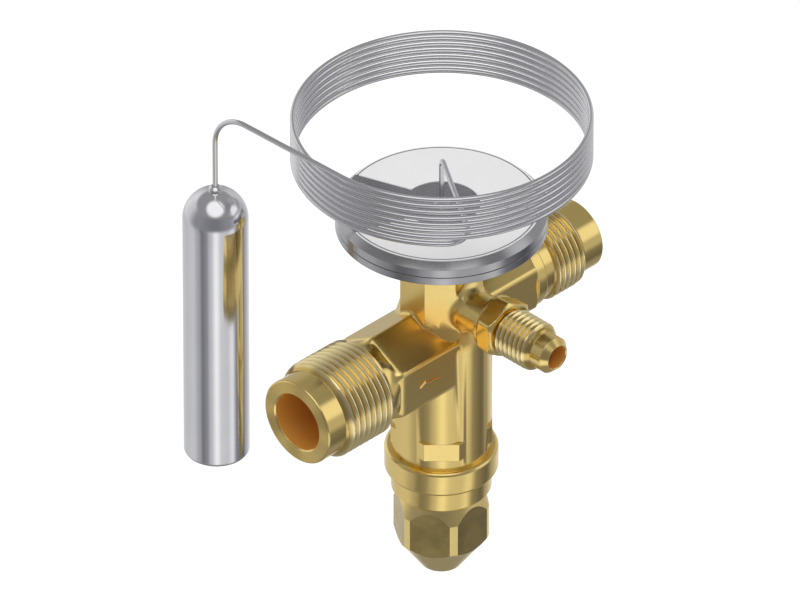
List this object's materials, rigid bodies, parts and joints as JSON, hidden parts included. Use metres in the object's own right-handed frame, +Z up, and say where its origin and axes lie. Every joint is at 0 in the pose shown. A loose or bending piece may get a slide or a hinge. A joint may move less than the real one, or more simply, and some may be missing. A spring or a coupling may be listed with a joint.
{
  "type": "expansion valve",
  "caption": "Flare-ended angle expansion valve with diaphragm head, coiled capillary, sensing bulb and adjusting spindle under a seal cap.",
  "frame": {"origin": "where the stem axis crosses the outlet port's axis", "axes": "+Z up the stem axis to the diaphragm head, -X out of the outlet, +X out of the inlet, -Y out of the equalizer port"},
  "size_m": [0.0853, 0.0775, 0.1187],
  "materials": {
    "forged_brass": "satin",
    "turned_brass": "satin",
    "hard_steel": "satin",
    "stainless": "satin",
    "spring_steel": "satin",
    "bulb_steel": "polished",
    "soft_seal": "matte",
    "gasket": "matte",
    "label": "satin",
    "braze": "satin"
  },
  "bodies": {
    "body": {"valve_body": "forged_brass", "orifice_insert": "hard_steel", "orifice_seal": "soft_seal", "pin_guide": "hard_steel", "pin_seal": "soft_seal", "retaining_ring": "spring_steel", "spindle_housing": "turned_brass", "housing_seal": "soft_seal", "equalizer_fitting": "turned_brass", "inlet_strainer": "stainless", "element_hub": "stainless", "lower_shell": "stainless", "diaphragm": "stainless", "upper_shell": "stainless", "label_plate": "label", "capillary_ferrule": "braze", "capillary_tube": "stainless", "sensing_bulb": "bulb_steel"},
    "valve_stem": {"thrust_pad": "stainless", "push_pin": "hard_steel", "valve_cone": "hard_steel", "spring_carrier": "turned_brass"},
    "spindle": {"adjusting_spindle": "turned_brass", "spindle_seal": "soft_seal"},
    "spring_seat": {"spring_seat": "turned_brass", "superheat_spring": "spring_steel"},
    "cap_gasket": {"cap_gasket": "gasket"},
    "seal_cap": {"seal_cap": "turned_brass"}
  },
  "joints": [
    {"name": "valve_stroke", "type": "slide", "parent": "body", "child": "valve_stem", "axis": [0, 0, -1], "range_m": [0, 0.0008], "stiffness_N_per_m": 1500, "springref_m": -0.0015, "deforming": ["superheat_spring"]},
    {"name": "spindle_turn", "type": "hinge", "parent": "body", "child": "spindle", "pos_m": [0, 0, -0.027], "axis": [0, 0, 1], "range_deg": [-720, 720]},
    {"name": "seat_travel", "type": "slide", "parent": "body", "child": "spring_seat", "axis": [0, 0, 1], "range_m": [-0.002, 0.002], "deforming": ["superheat_spring"]},
    {"name": "cap_travel", "type": "slide", "parent": "body", "child": "cap_gasket", "axis": [0, 0, -1], "range_m": [0, 0.008]},
    {"name": "cap_turn", "type": "hinge", "parent": "cap_gasket", "child": "seal_cap", "pos_m": [0, 0, -0.0386], "axis": [0, 0, -1], "range_deg": [0, 1900]}
  ],
  "couplings": [
    {"joint": "spindle_turn", "follows": "seat_travel", "rad_per_m": 6283.2},
    {"joint": "cap_travel", "follows": "cap_turn", "m_per_rad": 0.00023873}
  ]
}
